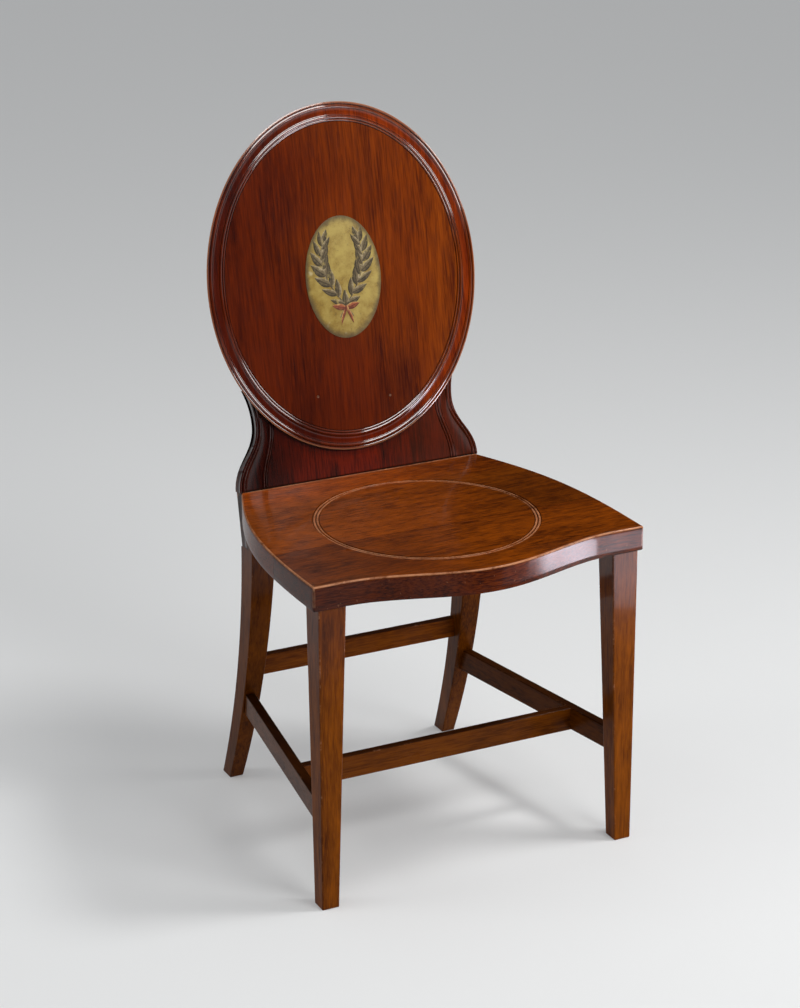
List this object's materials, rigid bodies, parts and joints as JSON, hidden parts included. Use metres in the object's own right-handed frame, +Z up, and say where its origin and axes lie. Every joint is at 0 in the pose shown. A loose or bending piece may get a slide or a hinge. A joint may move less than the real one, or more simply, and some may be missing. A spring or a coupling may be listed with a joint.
{
  "type": "hall chair",
  "caption": "Mahogany hall chair with a solid serpentine seat, an oval moulded back on a waisted splat, square tapered legs and stretchers, for sitting on",
  "frame": {"origin": "On the floor, under the middle of the chair's bounding box", "axes": "+X to the sitter's left, which is the right of the picture; +Y to the back; +Z up"},
  "size_m": [0.4758, 0.505, 0.9478],
  "materials": {
    "panel_mahogany": "polished",
    "splat_mahogany": "polished",
    "seat_mahogany": "polished",
    "leg_mahogany": "polished",
    "plain_beech": "unfinished",
    "pin_wood": "satin",
    "ochre_paint": "painted",
    "screw_iron": "dull"
  },
  "bodies": {
    "root": {"oval_panel": "panel_mahogany", "lower_splat": "splat_mahogany", "painted_cartouche": "ochre_paint", "panel_pin_left": "pin_wood", "panel_pin_right": "pin_wood", "seat_front_board": "seat_mahogany", "seat_rear_board": "seat_mahogany", "front_leg_left": "leg_mahogany", "front_leg_right": "leg_mahogany", "rear_leg_left": "leg_mahogany", "rear_leg_right": "leg_mahogany", "side_stretcher_left": "leg_mahogany", "side_stretcher_right": "leg_mahogany", "cross_stretcher": "leg_mahogany", "rear_stretcher": "leg_mahogany", "rear_rail": "plain_beech", "glue_block_left": "plain_beech", "glue_block_right": "plain_beech", "seat_batten_left": "plain_beech", "seat_batten_right": "plain_beech", "batten_screw_left_1": "screw_iron", "batten_screw_left_2": "screw_iron", "batten_screw_left_3": "screw_iron", "batten_screw_right_1": "screw_iron", "batten_screw_right_2": "screw_iron", "batten_screw_right_3": "screw_iron", "back_screw_left_1": "screw_iron", "back_screw_left_2": "screw_iron", "back_screw_right_1": "screw_iron", "back_screw_right_2": "screw_iron"}
  },
  "joints": []
}
